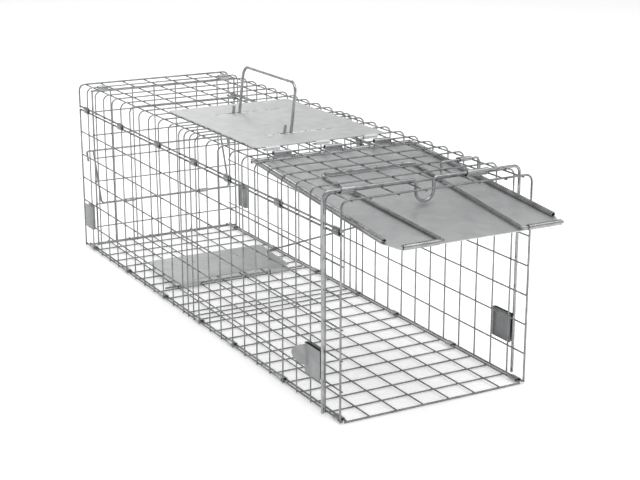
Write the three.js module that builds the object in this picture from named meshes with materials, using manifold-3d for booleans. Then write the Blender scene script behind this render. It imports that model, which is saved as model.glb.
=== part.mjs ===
// Live catch trap: a folding wire-mesh cage with a drop door, foot pedal trigger and rear door.
// Millimetres, +Z up. The entrance faces -Y, the cage runs along Y, width along X.
import * as THREE from 'three';
import Module from 'manifold-3d';

const wasm = await Module();
wasm.setup();
const { Manifold, Mesh: ManMesh } = wasm;

// ---- driving sizes ----
const CELL_W = 36.0;          // mesh opening pitch across the width
const CELLS_WIDE = 7;
const CELL_H = 36.45;         // mesh pitch up the walls
const CELLS_HIGH = 7;
const CELL_L = 34.47;         // mesh pitch along the length
// hoops along the length, in pitches from the front one; three stand closer together
const STATIONS = [...Array(12).keys(), 11.5, 12, 12.5, ...Array.from({ length: 11 }, (_, i) => i + 13.5)];
const THIN = 2.0;             // mesh wire
const EDGE = THIN + 0.6;      // panel edge wire, thick enough to weld to both layers
const LAYER = THIN / 2 + 0.05; // each wire layer sits this far from the middle of its panel
const SHEET = 1.0;            // folded sheet
const PLATE_T = 1.2;          // roof plate and pedal
const STRIP_T = 0.8;          // clips and sleeves of folded strip
const HEAVY = 4.0;            // hoop, handle and lock frame wire
const HINGE_ROD = 3.5;        // door hinge rod
const CRANK_WIRE = 3.0;       // trigger crank, pedal axle and rear brace
const PULL_WIRE = 2.6;        // trigger rod
const GAP = 0.4;              // free play between separate pieces
const DOOR_REST = 5.1;        // door slope when set, degrees below level
const HANDLE_TILT = 7.0;      // handle lean towards +X, degrees
const PEDAL_TILT = 4.0;       // pedal rise towards the rear, degrees
const EAR_LEAN = 25;          // catch ears lean outward, degrees
const HOOP_BEND = 10;         // outer radius where the roof hoops turn down
const SINK = 0.1;             // wire ends stop this far inside the edge wire

// ---- sizes that follow ----
const RAD = Math.PI / 180;
const W = CELL_W * CELLS_WIDE;
const H = CELL_H * CELLS_HIGH;
const L = CELL_L * STATIONS[STATIONS.length - 1];
const HW = W / 2;
const FLOOR_MID = EDGE / 2 + LAYER;
const ROOF_MID = FLOOR_MID + H;
const st = k => k * CELL_L;               // distance of a hoop from the front one
const row = k => FLOOR_MID + k * CELL_H;  // height of a mesh row
const SEAM = row(CELLS_HIGH - 1) + 0.9;   // where the roof panel meets the side panels
const SEAM_HALF = 2.5;
const HR = HEAVY / 2;
const LONG_X = [-2.5, -1.5, -0.5, 0.5, 1.5, 2.5].map(k => k * CELL_W);
const CORNER_X = HW - 12;
const FLOOR_X = HW - 6.1;
const ROOF_UNDER = ROOF_MID - LAYER - THIN / 2; // underside of the roof's long wires
const HOOP_Z = ROOF_MID + LAYER;                // middle of the roof hoops

// ---- small geometry kit: a piece is { v: points, t: triangles } ----
const V = (x, y, z) => new THREE.Vector3(x, y, z);
const X = V(1, 0, 0);
const Y = V(0, 1, 0);
const Z = V(0, 0, 1);

function volume(g) {
  let sum = 0;
  for (const [a, b, c] of g.t) sum += g.v[a].dot(V(0, 0, 0).crossVectors(g.v[b], g.v[c]));
  return sum / 6;
}

function outward(g) {
  return volume(g) < 0 ? { v: g.v, t: g.t.map(([a, b, c]) => [a, c, b]) } : g;
}

const remap = (g, f) => outward({ v: g.v.map(f), t: g.t });
const apply = (g, m) => remap(g, p => p.clone().applyMatrix4(m));
const move = (g, x, y, z) => apply(g, new THREE.Matrix4().makeTranslation(x, y, z));
const turn = (g, axis, deg) => apply(g, new THREE.Matrix4().makeRotationAxis(axis, deg * RAD));

// a section swept along a path, with mitred corners
function sweep(path, section, ref) {
  const n = path.length;
  const k = section.length;
  const dirs = path.slice(1).map((p, i) => p.clone().sub(path[i]).normalize());
  const a = ref.clone().addScaledVector(dirs[0], -ref.dot(dirs[0])).normalize();
  const b = dirs[0].clone().cross(a);
  let ring = section.map(([p, q]) => path[0].clone().addScaledVector(a, p).addScaledVector(b, q));
  const rings = [ring];
  dirs.forEach((d, i) => {
    const normal = i < n - 2 ? d.clone().add(dirs[i + 1]).normalize() : d;
    const reach = q => path[i + 1].clone().sub(q).dot(normal) / d.dot(normal);
    ring = ring.map(q => q.clone().addScaledVector(d, reach(q)));
    rings.push(ring);
  });
  const t = [];
  for (let i = 0; i < n - 1; i++) {
    for (let j = 0; j < k; j++) {
      const A = i * k + j;
      const B = i * k + (j + 1) % k;
      t.push([A, B, B + k], [A, B + k, A + k]);
    }
  }
  const last = (n - 1) * k;
  for (let j = 1; j < k - 1; j++) t.push([0, j + 1, j], [last, last + j, last + j + 1]);
  return outward({ v: rings.flat(), t });
}

const square = s => [[s / 2, s / 2], [-s / 2, s / 2], [-s / 2, -s / 2], [s / 2, -s / 2]];

function polygon(r, k, cu = 0, cw = 0) {
  return Array.from({ length: k }, (_, i) => {
    const t = (i + 0.5) * 2 * Math.PI / k;
    return [cu + r * Math.cos(t), cw + r * Math.sin(t)];
  });
}

// a path with its corners bent to a radius: one for all, or one for each corner
function fillet(points, radius, steps = 3) {
  const out = [points[0]];
  for (let i = 1; i < points.length - 1; i++) {
    const p = points[i];
    const a = points[i - 1].clone().sub(p);
    const b = points[i + 1].clone().sub(p);
    const room = 0.49 * Math.min(a.length(), b.length());
    a.normalize();
    b.normalize();
    const half = Math.acos(THREE.MathUtils.clamp(a.dot(b), -1, 1)) / 2;
    const r = Array.isArray(radius) ? radius[i - 1] : radius;
    if (half > Math.PI / 2 - 0.01 || r <= 0) {
      out.push(p);
      continue;
    }
    const cutBack = Math.min(r / Math.tan(half), room);
    const toCentre = cutBack * Math.tan(half) / Math.sin(half);
    const centre = p.clone().addScaledVector(a.clone().add(b).normalize(), toCentre);
    const from = p.clone().addScaledVector(a, cutBack).sub(centre);
    const to = p.clone().addScaledVector(b, cutBack).sub(centre);
    const axis = from.clone().cross(to).normalize();
    const sweepAngle = from.angleTo(to);
    for (let j = 0; j <= steps; j++) {
      out.push(centre.clone().add(from.clone().applyAxisAngle(axis, sweepAngle * j / steps)));
    }
  }
  out.push(points[points.length - 1]);
  return out;
}

const wire = (points, r, k = 8, ref = V(0.31, 0.17, 0.93)) => sweep(points, polygon(r, k), ref);

function bar(p, q, s) {
  const upright = Math.abs(q.clone().sub(p).normalize().z) > 0.9;
  return sweep([p, q], square(s), upright ? X : Z);
}

// a closed outline with a matching inner outline, pushed along an axis
function tube(outer, inner, place, from, to) {
  const n = outer.length;
  const v = [];
  for (const d of [from, to]) {
    for (const loop of [outer, inner]) v.push(...loop.map(([u, w]) => place(u, w, d)));
  }
  const t = [];
  for (let i = 0; i < n; i++) {
    const j = (i + 1) % n;
    t.push([i, j, 2 * n + j], [i, 2 * n + j, 2 * n + i]);
    t.push([n + j, n + i, 3 * n + i], [n + j, 3 * n + i, 3 * n + j]);
    t.push([j, i, n + i], [j, n + i, n + j]);
    t.push([2 * n + i, 2 * n + j, 3 * n + j], [2 * n + i, 3 * n + j, 3 * n + i]);
  }
  return outward({ v, t });
}

// a flat sheet cut to an outline with holes, from z0 to z1
function slab(outline, holes, z0, z1) {
  const loop = (points, clockwise) => {
    const out = points.map(p => new THREE.Vector2(...p));
    return THREE.ShapeUtils.isClockWise(out) === clockwise ? out : out.reverse();
  };
  const edge = loop(outline, false);
  const inner = holes.map(h => loop(h, true));
  const flat = [edge, ...inner].flat();
  const n = flat.length;
  const v = [z0, z1].flatMap(z => flat.map(p => V(p.x, p.y, z)));
  const t = [];
  for (const [a, b, c] of THREE.ShapeUtils.triangulateShape(edge, inner)) {
    t.push([a, c, b], [a + n, b + n, c + n]);
  }
  let start = 0;
  for (const { length } of [edge, ...inner]) {
    for (let i = 0; i < length; i++) {
      const a = start + i;
      const b = start + (i + 1) % length;
      t.push([a, b, b + n], [a, b + n, a + n]);
    }
    start += length;
  }
  return outward({ v, t });
}

const rectangle = (x0, x1, y0, y1) => [[x0, y0], [x1, y0], [x1, y1], [x0, y1]];
const block = (x0, x1, y0, y1, z0, z1) => slab(rectangle(x0, x1, y0, y1), [], z0, z1);

// the outline of a bent strip of sheet, from its middle line
function strip(middle, t) {
  const way = (p, q) => V(q[0] - p[0], q[1] - p[1], 0).normalize();
  const ways = middle.slice(1).map((p, i) => way(middle[i], p));
  const side = f => middle.map((p, i) => {
    const before = ways[Math.max(0, i - 1)];
    const after = ways[Math.min(ways.length - 1, i)];
    const m = before.clone().add(after).normalize();
    const k = f * t / 2 / m.dot(after);
    return [p[0] - m.y * k, p[1] + m.x * k];
  });
  return [...side(1), ...side(-1).reverse()];
}

const alongX = (u, w, d) => V(d, u, w);
const alongY = (u, w, d) => V(u, d, w);
const bentX = (middle, t, x0, x1) => remap(slab(strip(middle, t), [], x0, x1), p => V(p.z, p.x, p.y));

// a flattened ring outline: half sizes a and b, corners cut by c
function oblong(cu, cw, a, b, c) {
  const lower = [[c - a, -b], [a - c, -b], [a, c - b], [a, b - c]];
  const corner = [...lower, ...lower.map(([u, w]) => [-u, -w])];
  return corner.map(([u, w]) => [cu + u, cw + w]);
}

// strip wrapped round two wires
function sleeve(cu, cw, a, b, c, wall, place, from, to) {
  const outer = oblong(cu, cw, a + wall, b + wall, c + wall * 0.59);
  return tube(outer, oblong(cu, cw, a, b, c), place, from, to);
}

// round tube whose flats, not its corners, have the given radii
function pipe(cu, cw, inner, outer, place, from, to, k = 12) {
  const loop = r => polygon(r / Math.cos(Math.PI / k), k, cu, cw);
  return tube(loop(outer), loop(inner), place, from, to);
}

function toManifold(g) {
  const seen = new Map();
  const points = [];
  const index = g.v.map(p => {
    const key = p.toArray().map(c => Math.round(c * 1e5)).join();
    if (!seen.has(key)) {
      seen.set(key, points.length / 3);
      points.push(p.x, p.y, p.z);
    }
    return seen.get(key);
  });
  const faces = g.t.map(f => f.map(i => index[i])).filter(f => new Set(f).size === 3);
  return new Manifold(new ManMesh({
    numProp: 3,
    vertProperties: new Float32Array(points),
    triVerts: new Uint32Array(faces.flat()),
  }));
}

function fromManifold(m) {
  const s = m.getMesh();
  const v = [];
  const t = [];
  for (let i = 0; i < s.vertProperties.length; i += s.numProp) {
    v.push(V(...s.vertProperties.slice(i, i + 3)));
  }
  for (let i = 0; i < s.triVerts.length; i += 3) t.push([...s.triVerts.slice(i, i + 3)]);
  return { v, t };
}

const join = list => fromManifold(Manifold.union(list.map(toManifold)));
const cut = (g, list) => fromManifold(toManifold(g).subtract(Manifold.union(list.map(toManifold))));

// ---- materials ----
function material(name, color, roughness) {
  const m = new THREE.MeshStandardMaterial({ color, roughness, metalness: 1 });
  m.name = name;
  return m;
}
const WIRE = material('galvanised_wire', 0x9aa0a4, 0.42);
const PLATE = material('galvanised_sheet', 0xc4c8ca, 0.38);
const DOOR = material('galvanised_door_sheet', 0xb2b6b9, 0.42);
const ROD = material('bright_rod', 0xa4a8ac, 0.3);
const CLIP = material('galvanised_clip', 0xa9adb0, 0.4);

const pieces = [];
const add = (name, g, m) => pieces.push({ name, g, m });
const sides = [['left', -1], ['right', 1]];
const gauge = i => (i === 0 || i === STATIONS.length - 1 ? EDGE : THIN);

// ---- side panels: uprights outside, rows inside, heavier wire round the edge ----
function sidePanel(s) {
  const outer = s * (HW + LAYER);
  const inner = s * (HW - LAYER);
  const low = FLOOR_MID + LAYER;
  const top = SEAM - SEAM_HALF;
  const past = EDGE / 2 - SINK;
  const upright = (y, t) => bar(V(outer, y, low - past), V(outer, y, top + past), t);
  const bars = STATIONS.map((k, i) => upright(st(k), gauge(i)));
  for (let r = 1; r <= CELLS_HIGH - 2; r++) {
    bars.push(bar(V(inner, -past, row(r)), V(inner, L + past, row(r)), THIN));
  }
  for (const z of [low, top]) bars.push(bar(V(inner, -EDGE / 2, z), V(inner, L + EDGE / 2, z), EDGE));
  return join(bars);
}
for (const [side, s] of sides) add(`${side}_side_panel`, sidePanel(s), WIRE);

// ---- roof panel: hoops bent down over both sides to the seam ----
function roofPanel() {
  const low = SEAM + SEAM_HALF;
  const x = HW + LAYER;
  const past = EDGE / 2 - SINK;
  const bars = STATIONS.map((k, i) => {
    const y = st(k);
    const run = [V(-x, y, low - past), V(-x, y, HOOP_Z), V(x, y, HOOP_Z), V(x, y, low - past)];
    return sweep(fillet(run, HOOP_BEND, 2), square(gauge(i)), Y);
  });
  for (const lx of [...LONG_X, -CORNER_X, CORNER_X]) {
    bars.push(bar(V(lx, -past, ROOF_MID - LAYER), V(lx, L + past, ROOF_MID - LAYER), THIN));
  }
  for (const [, s] of sides) {
    bars.push(bar(V(s * (HW - LAYER), -EDGE / 2, low), V(s * (HW - LAYER), L + EDGE / 2, low), EDGE));
  }
  return join(bars);
}
add('roof_panel', roofPanel(), WIRE);

// ---- floor panel: cross wires below, long wires above ----
function floorPanel() {
  const past = EDGE / 2 - SINK;
  const low = FLOOR_MID - LAYER;
  const high = FLOOR_MID + LAYER;
  const across = (y, t) => bar(V(-FLOOR_X - past, y, low), V(FLOOR_X + past, y, low), t);
  const bars = STATIONS.map((k, i) => across(st(k), gauge(i)));
  for (const lx of LONG_X) bars.push(bar(V(lx, -past, high), V(lx, L + past, high), THIN));
  for (const [, s] of sides) {
    bars.push(bar(V(s * FLOOR_X, -EDGE / 2, high), V(s * FLOOR_X, L + EDGE / 2, high), EDGE));
  }
  return join(bars);
}
add('floor_panel', floorPanel(), WIRE);

// ---- hinge clips of folded strip along the four seams ----
const CLIPS = [0.35, 4.35, 8.32, 11.25, 14.77, 18.77, 22.82];   // places, in pitches
const CLIP_HALF = 0.2 * CELL_L;
const MIDDLE_CLIP_HALF = 0.165 * CELL_L;                        // stands between two close hoops
CLIPS.forEach((k, i) => {
  const half = i === 3 ? MIDDLE_CLIP_HALF : CLIP_HALF;
  const y = st(k);
  const bore = EDGE / 2 + GAP;
  const mid = (HW - LAYER + FLOOR_X) / 2;
  const apart = (HW - LAYER - FLOOR_X) / 2;
  for (const [side, s] of sides) {
    const ends = [y - half, y + half];
    const seam = sleeve(s * (HW - LAYER), SEAM, bore, SEAM_HALF + bore, 0.3, STRIP_T, alongY, ...ends);
    add(`${side}_seam_clip_${i + 1}`, seam, CLIP);
    const floor = sleeve(s * mid, FLOOR_MID + LAYER, apart + bore, bore, 0.3, 0.7, alongY, ...ends);
    add(`${side}_floor_clip_${i + 1}`, floor, CLIP);
  }
});

// ---- front locking hoop with its finger loop, hung in two sleeves ----
const HOOP_X = HW + LAYER + EDGE / 2 + 0.5 + SHEET + GAP + HR;
const HOOP_FOOT = 3.2;
const BAR_Z = HOOP_Z + THIN / 2 + GAP + HR;
const BAR_Y = st(1) - 3.5;
const HINGE_Y = st(7);
const HINGE_Z = ROOF_UNDER - 3.95;
const SLOPE = DOOR_REST * RAD;
const doorZ = y => HINGE_Z - (HINGE_Y - y) * Math.tan(SLOPE);

function frontHoop() {
  const loop = CELL_W / 2 - 6;
  const loopZ = doorZ(BAR_Y) + SHEET / 2 + 0.7 + HR;
  const half = [[HOOP_X, HOOP_FOOT], [HOOP_X, BAR_Z], [loop, BAR_Z], [loop, loopZ]];
  const run = [...half.map(([x, z]) => V(-x, BAR_Y, z)), ...half.reverse().map(([x, z]) => V(x, BAR_Y, z))];
  return wire(fillet(run, [9, 5, loop - 1, loop - 1, 5, 9], 4), HR, 8, Y);
}
add('front_hoop', frontHoop(), ROD);

const hoopSleeves = [[-CORNER_X + 4, -2.5 * CELL_W - 3], [1.5 * CELL_W + 3, 2.5 * CELL_W - 3]];
hoopSleeves.forEach(([from, to], i) => {
  const a = (st(1) - BAR_Y) / 2 + HR + GAP;
  const b = (BAR_Z - HOOP_Z) / 2 + HR + GAP;
  const g = sleeve((BAR_Y + st(1)) / 2, (BAR_Z + HOOP_Z) / 2, a, b, 1.4, 0.9, alongX, from, to);
  add(`front_hoop_sleeve_${i + 1}`, g, CLIP);
});

// ---- catches on the side panels: a folded pocket, at the front with a half-round ear ----
const CATCH_LOW = row(1.05);
const CATCH_HIGH = row(2.05);
const CATCH_IN = HW + LAYER + EDGE / 2 + 0.5 + SHEET / 2;

function pocket(outer, deep) {
  const turned = [(CATCH_IN + outer) / 2, deep + 2.5];
  const fold = [[CATCH_IN, 0], [CATCH_IN, deep], turned, [outer, deep], [outer, 0]];
  return slab(strip(fold, SHEET), [], CATCH_LOW, CATCH_HIGH);
}

// half-round leaf, bent outward from the end of the pocket
function ear(outer, deep) {
  const half = 0.34 * (CATCH_HIGH - CATCH_LOW);
  const middle = CATCH_HIGH - 0.43 * (CATCH_HIGH - CATCH_LOW);
  const arc = Array.from({ length: 13 }, (_, i) => {
    const t = (i / 12 - 0.5) * Math.PI;
    return [Math.cos(t) * 0.58 * CELL_L, Math.sin(t) * half];
  });
  const flat = slab([[-3, -half], ...arc, [-3, half]], [], -SHEET / 2, SHEET / 2);
  const c = Math.cos(EAR_LEAN * RAD);
  const n = Math.sin(EAR_LEAN * RAD);
  return remap(flat, p => V(
    outer + p.z * c + Math.max(0, p.x) * n,
    deep - 0.5 + p.x * (p.x > 0 ? c : 1) - p.z * n * 0.2,
    middle + p.y,
  ));
}

const FRONT_OUT = HOOP_X + HR - SHEET / 2;
const FRONT_DEEP = 1.02 * CELL_L;
const REAR_OUT = CATCH_IN + 4 + SHEET;
const REAR_DEEP = 0.72 * CELL_L;
const FRONT_MOUTH = BAR_Y + HR + 0.8;
const REAR_MOUTH = st(22.74);
for (const [side, s] of sides) {
  const front = join([pocket(FRONT_OUT, FRONT_DEEP), ear(FRONT_OUT, FRONT_DEEP)]);
  add(`${side}_front_catch`, remap(front, p => V(s * p.x, FRONT_MOUTH + p.y, p.z)), CLIP);
  const rear = pocket(REAR_OUT, REAR_DEEP);
  add(`${side}_rear_catch`, remap(rear, p => V(s * p.x, REAR_MOUTH - p.y, p.z)), CLIP);
}

// ---- roof plate: two slots, ends rolled round a roof hoop in three tabs each ----
const PLATE_Z = HOOP_Z + THIN / 2 + 0.3;
const PLATE_X = 2.5 * CELL_W + 4;
const PLATE_FRONT = st(8) - 6.8;
const PLATE_BACK = st(15.5) + 6.7;
const HANDLE_Y = st(11.75);
const HANDLE_SPAN = 4.41 * CELL_L;

function roofPlate() {
  const c = 5;
  const slot = y => rectangle(-50, 50, y - 3.2, y + 3.2);
  const slots = [-1, 1].map(f => slot(HANDLE_Y + f * HANDLE_SPAN / 2));
  const edge = oblong(0, (PLATE_FRONT + PLATE_BACK) / 2, PLATE_X, (PLATE_BACK - PLATE_FRONT) / 2, c);
  const parts = [slab(edge, slots, PLATE_Z, PLATE_Z + PLATE_T)];
  const high = PLATE_Z + PLATE_T / 2;
  const low = HOOP_Z - THIN / 2 - GAP - PLATE_T / 2 - 1.2;
  for (const [y, f, hoop] of [[PLATE_FRONT, 1, st(8)], [PLATE_BACK, -1, st(15.5)]]) {
    const tab = [
      [y + f * 1.5, high], [y - f * 0.6, high], [y - f * 2.2, high - 1.8],
      [y - f * 2.2, low + 1.6], [y - f * 0.6, low], [hoop + f * 2.5, low],
    ];
    for (const x of [-2 * CELL_W + 1, 0, 2 * CELL_W - 1]) {
      parts.push(bentX(tab, PLATE_T, x - CELL_W * 0.28, x + CELL_W * 0.28));
    }
  }
  return join(parts);
}
add('roof_plate', roofPlate(), PLATE);

// ---- carry handle: drawn upright, then leaned about the roof wire its hooks hold ----
function carryHandle() {
  const hook = 4.7;
  const z = ROOF_MID - LAYER;
  const grip = 66 + PLATE_Z - z;
  const half = [[-hook, PLATE_Z + 11 - z], [-hook, -hook], [hook, -hook], [hook, grip]];
  const near = half.map(([x, h]) => V(x, HANDLE_Y - HANDLE_SPAN / 2, h));
  const away = half.reverse().map(([x, h]) => V(x, HANDLE_Y + HANDLE_SPAN / 2, h));
  const r = hook - 0.2;
  const g = wire(fillet([...near, ...away], [r, r, 14, 14, r, r], 4), HR, 8, V(0.2, 0.9, 0.1));
  return move(turn(g, Y, HANDLE_TILT), -CELL_W / 2, 0, z);
}
add('carry_handle', carryHandle(), ROD);

// ---- drop door with rolled edges, hinge knuckles and lock-frame tubes ----
const DOOR_LEN = 1.286 * H;
const DOOR_X = HW - 12;
const ROLL = 3.2;
const CHAMFER = 11;
const TAIL = DOOR_LEN - 24;
const TUBE_O = SHEET / 2 + HR + GAP;      // lock-frame tubes above the middle of the sheet
const STRAPS = [-2 * CELL_W, 0, 2 * CELL_W];
const STRAP_HALF = 0.34 * CELL_W;
const RR = HINGE_ROD / 2;
const LEG_TIP = 0.405 * W / 2;
const LEG_FAR = 0.516 * W / 2;
const FRAME_LEN = 0.745 * DOOR_LEN;
// built level, reaching to -Y from the hinge line, then hung at its slope
const onDoor = g => move(turn(g, X, DOOR_REST), 0, HINGE_Y, HINGE_Z);

function dropDoor() {
  const notch = STRAPS.flatMap(c => [c - STRAP_HALF - 1, c + STRAP_HALF + 1]);
  const near = -(RR + GAP + 0.4);
  const outline = [
    [-DOOR_X, -TAIL], [-DOOR_X + CHAMFER, -DOOR_LEN],
    [DOOR_X - CHAMFER, -DOOR_LEN], [DOOR_X, -TAIL], [DOOR_X, near],
  ];
  for (let i = notch.length - 1; i >= 0; i -= 2) {
    outline.push([notch[i], near], [notch[i], -7], [notch[i - 1], -7], [notch[i - 1], near]);
  }
  outline.push([-DOOR_X, near]);
  const parts = [slab(outline, [], -SHEET / 2, SHEET / 2)];
  for (const [, s] of sides) {
    parts.push(wire([V(s * DOOR_X, -8, 0), V(s * DOOR_X, -TAIL, 0)], ROLL, 10, Z));
    const ends = [s * (LEG_TIP + 7), s * (DOOR_X - CHAMFER)].sort((a, b) => a - b);
    parts.push(pipe(-DOOR_LEN, TUBE_O, HR + GAP, HR + GAP + 0.9, alongX, ...ends));
  }
  const knuckle = [-DOOR_X, ...notch, DOOR_X];
  for (let i = 0; i < knuckle.length; i += 2) {
    parts.push(pipe(0, 0, RR + GAP, RR + GAP + 0.85, alongX, knuckle[i], knuckle[i + 1], 10));
  }
  const mouth = block(-LEG_TIP - 6, LEG_TIP + 6, -DOOR_LEN - 6, -DOOR_LEN + 3.2, -3, 9);
  return onDoor(cut(join(parts), [mouth]));
}
add('drop_door', dropDoor(), DOOR);
const hingeRun = [V(-DOOR_X + 1, HINGE_Y, HINGE_Z), V(DOOR_X - 1, HINGE_Y, HINGE_Z)];
add('door_hinge_rod', wire(hingeRun, RR, 10, Z), ROD);
STRAPS.forEach((c, i) => {
  const half = (HOOP_Z - HINGE_Z) / 2 + RR + GAP;
  const ends = [c - STRAP_HALF, c + STRAP_HALF];
  const g = sleeve(HINGE_Y, (HINGE_Z + HOOP_Z) / 2, RR + GAP, half, 1.0, STRIP_T, alongX, ...ends);
  add(`door_hinge_strap_${i + 1}`, g, CLIP);
});

// ---- lock frame, one wire: ends turned out into the door tubes, legs, cross bar ----
function lockFrame() {
  const end = DOOR_X - CHAMFER - 3;
  const half = [[end, -DOOR_LEN], [LEG_TIP, -DOOR_LEN], [LEG_FAR, -DOOR_LEN + FRAME_LEN]];
  const run = [...half.map(([x, y]) => V(-x, y, TUBE_O)), ...half.reverse().map(([x, y]) => V(x, y, TUBE_O))];
  return onDoor(wire(fillet(run, [4, 9, 9, 4], 3), HR, 8, Z));
}
add('lock_frame', lockFrame(), ROD);

// ---- trigger: crank in its sleeve, long rod, pedal on its axle ----
const CR = CRANK_WIRE / 2;
const PR = PULL_WIRE / 2;
const CRANK_Y = st(3) - 5;
const CRANK_Z = ROOF_MID - LAYER + THIN / 2 + GAP + CR;
const ARM_X = HW - 5.3;
const ARM = 43;
const PEDAL_Y = st(15.5) - 4.5;
const PEDAL_Z = FLOOR_MID + LAYER + THIN / 2 + GAP + CR;
const PEDAL_LEN = 104;
const PEDAL_X = 2.5 * CELL_W + 3.5;
const PEDAL_O = CR + GAP + PLATE_T / 2;   // pedal plate above its axle
const HOLE = [2.5 * CELL_W - 4, 64];      // where the rod drops into the pedal

function triggerCrank() {
  const share = (DOOR_LEN - (HINGE_Y - CRANK_Y) / Math.cos(SLOPE)) / FRAME_LEN;
  const hook = LEG_TIP + (LEG_FAR - LEG_TIP) * share + HR + 1.9 + CR;
  const tip = doorZ(CRANK_Y - 6) + SHEET / 2 + 1.2 + CR;
  const run = [
    V(hook, CRANK_Y - 5, tip + 0.4), V(hook, CRANK_Y, tip + 7), V(hook, CRANK_Y, CRANK_Z),
    V(ARM_X, CRANK_Y, CRANK_Z), V(ARM_X, CRANK_Y, CRANK_Z - ARM),
  ];
  return wire(fillet(run, [3, 4, 3.2], 3), CR, 8, Y);
}
add('trigger_crank', triggerCrank(), ROD);

function triggerSleeve() {
  const low = Math.min(HOOP_Z - THIN / 2, CRANK_Z - CR) - GAP;
  const high = Math.max(HOOP_Z + THIN / 2, CRANK_Z + CR) + GAP;
  const a = (st(3) - CRANK_Y) / 2 + CR + GAP;
  const y = (st(3) + CRANK_Y) / 2;
  const ends = [2.5 * CELL_W + 3, CORNER_X - 4];
  return sleeve(y, (low + high) / 2, a, (high - low) / 2, 0.9, STRIP_T, alongX, ...ends);
}
add('trigger_sleeve', triggerSleeve(), CLIP);

function triggerRod() {
  const c = Math.cos(PEDAL_TILT * RAD);
  const n = Math.sin(PEDAL_TILT * RAD);
  const y = PEDAL_Y + HOLE[1] * c - PEDAL_O * n;
  const z = PEDAL_Z + HOLE[1] * n + PEDAL_O * c;
  const top = z + 4;
  const end = V(ARM_X, CRANK_Y - 3, CRANK_Z - ARM - PR - GAP - 0.2);
  const bendY = HINGE_Y + 9;
  const bendZ = top + (end.z - top) * (y - bendY) / (y - CRANK_Y);
  const run = [V(HOLE[0], y, z - 3.4), V(HOLE[0], y, top), V(ARM_X, bendY, bendZ), end];
  return wire(fillet(run, [2.2, 30], 3), PR, 8, V(0.9, 0.1, 0.2));
}
add('trigger_rod', triggerRod(), ROD);

function pedal() {
  const c = 4;
  const hole = Array.from({ length: 10 }, (_, i) => {
    const t = i * Math.PI / 5;
    return [HOLE[0] + 3.6 * Math.cos(t), HOLE[1] + 3.6 * Math.sin(t)];
  });
  const edge = [
    [-PEDAL_X, 9], [PEDAL_X, 9], [PEDAL_X, PEDAL_LEN - c],
    [PEDAL_X - c, PEDAL_LEN], [-PEDAL_X + c, PEDAL_LEN], [-PEDAL_X, PEDAL_LEN - c],
  ];
  const parts = [slab(edge, [hole], PEDAL_O - PLATE_T / 2, PEDAL_O + PLATE_T / 2)];
  for (const x of [1.5 * CELL_W + 3, -2.5 * CELL_W + 3]) {
    const to = x + CELL_W - 6;
    parts.push(pipe(0, 0, CR + GAP, CR + GAP + PLATE_T, alongX, x, to, 12));
    parts.push(block(x, to, 0.4, 9.5, PEDAL_O - PLATE_T / 2, PEDAL_O + PLATE_T / 2));
  }
  return move(turn(join(parts), X, PEDAL_TILT), 0, PEDAL_Y, PEDAL_Z);
}
add('pedal', pedal(), PLATE);
const axleRun = [V(-CORNER_X + 3, PEDAL_Y, PEDAL_Z), V(CORNER_X - 3, PEDAL_Y, PEDAL_Z)];
add('pedal_axle', wire(axleRun, CR, 8, Z), ROD);

// ---- rear door, hung from the roof hoop above it ----
const REAR_Y = st(22.5);
const REAR_TOP = ROOF_UNDER - GAP - EDGE / 2 - 0.4;
const REAR_LOW = row(0) + 8;
const REAR_X = HW - 5;

function rearDoor() {
  const y = REAR_Y - 2 * LAYER;
  const past = EDGE / 2 - SINK;
  const bars = LONG_X.map(x => bar(V(x, y, REAR_LOW - past), V(x, y, REAR_TOP + past), THIN));
  for (const [, s] of sides) {
    const x = s * (REAR_X - EDGE / 2);
    bars.push(bar(V(x, y, REAR_LOW - EDGE / 2), V(x, y, REAR_TOP + EDGE / 2), EDGE));
  }
  for (let r = 1; r < CELLS_HIGH; r++) {
    bars.push(bar(V(-REAR_X + SINK, REAR_Y, row(r)), V(REAR_X - SINK, REAR_Y, row(r)), THIN));
  }
  for (const z of [REAR_LOW, REAR_TOP]) bars.push(bar(V(-REAR_X, REAR_Y, z), V(REAR_X, REAR_Y, z), EDGE));
  return join(bars);
}
add('rear_door', rearDoor(), WIRE);
sides.forEach(([, s], i) => {
  const bore = EDGE * 0.71 + 0.15;
  const ends = [s * (2.5 * CELL_W + 3), s * (CORNER_X - 4)].sort((a, b) => a - b);
  const half = (HOOP_Z - REAR_TOP) / 2 + bore;
  const g = sleeve(REAR_Y, (REAR_TOP + HOOP_Z) / 2, bore, half, 0.3, STRIP_T, alongX, ...ends);
  add(`rear_door_sleeve_${i + 1}`, g, CLIP);
});

// ---- rear brace: bar low on the door, arms leaning back to the last hoop, ends bent back ----
const BRACE_Y = REAR_Y + THIN / 2 + GAP + CR + 0.4;
const BRACE_Z = row(2);

function rearBrace() {
  const arm = HW - 16;
  const knee = HW - 5.2;
  const y = st(23.5) - 4;
  const z = row(4.15);
  const back = V(0, BRACE_Y - y, BRACE_Z - z).setLength(16);
  const top = [V(knee, y, z).add(back), V(knee, y, z), V(-knee, y, z), V(-knee, y, z).add(back)];
  return join([
    wire(fillet(top, 3, 3), CR, 8, V(0.1, 0.9, 0.3)),
    ...sides.map(([, s]) => wire([V(s * arm, BRACE_Y, BRACE_Z), V(s * arm, y, z)], CR, 8, X)),
    wire([V(-arm - CR, BRACE_Y, BRACE_Z), V(arm + CR, BRACE_Y, BRACE_Z)], CR, 8, Z),
  ]);
}
add('rear_brace', rearBrace(), ROD);
sides.forEach(([, s], i) => {
  const x = s * 1.75 * CELL_W;
  const a = (BRACE_Y - REAR_Y) / 2 + CR + GAP;
  const ends = [x - 0.2 * CELL_W, x + 0.2 * CELL_W];
  const g = sleeve((REAR_Y + BRACE_Y) / 2, BRACE_Z, a, CR + GAP + 0.3, 0.9, STRIP_T, alongX, ...ends);
  add(`rear_brace_tube_${i + 1}`, g, CLIP);
});

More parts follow.
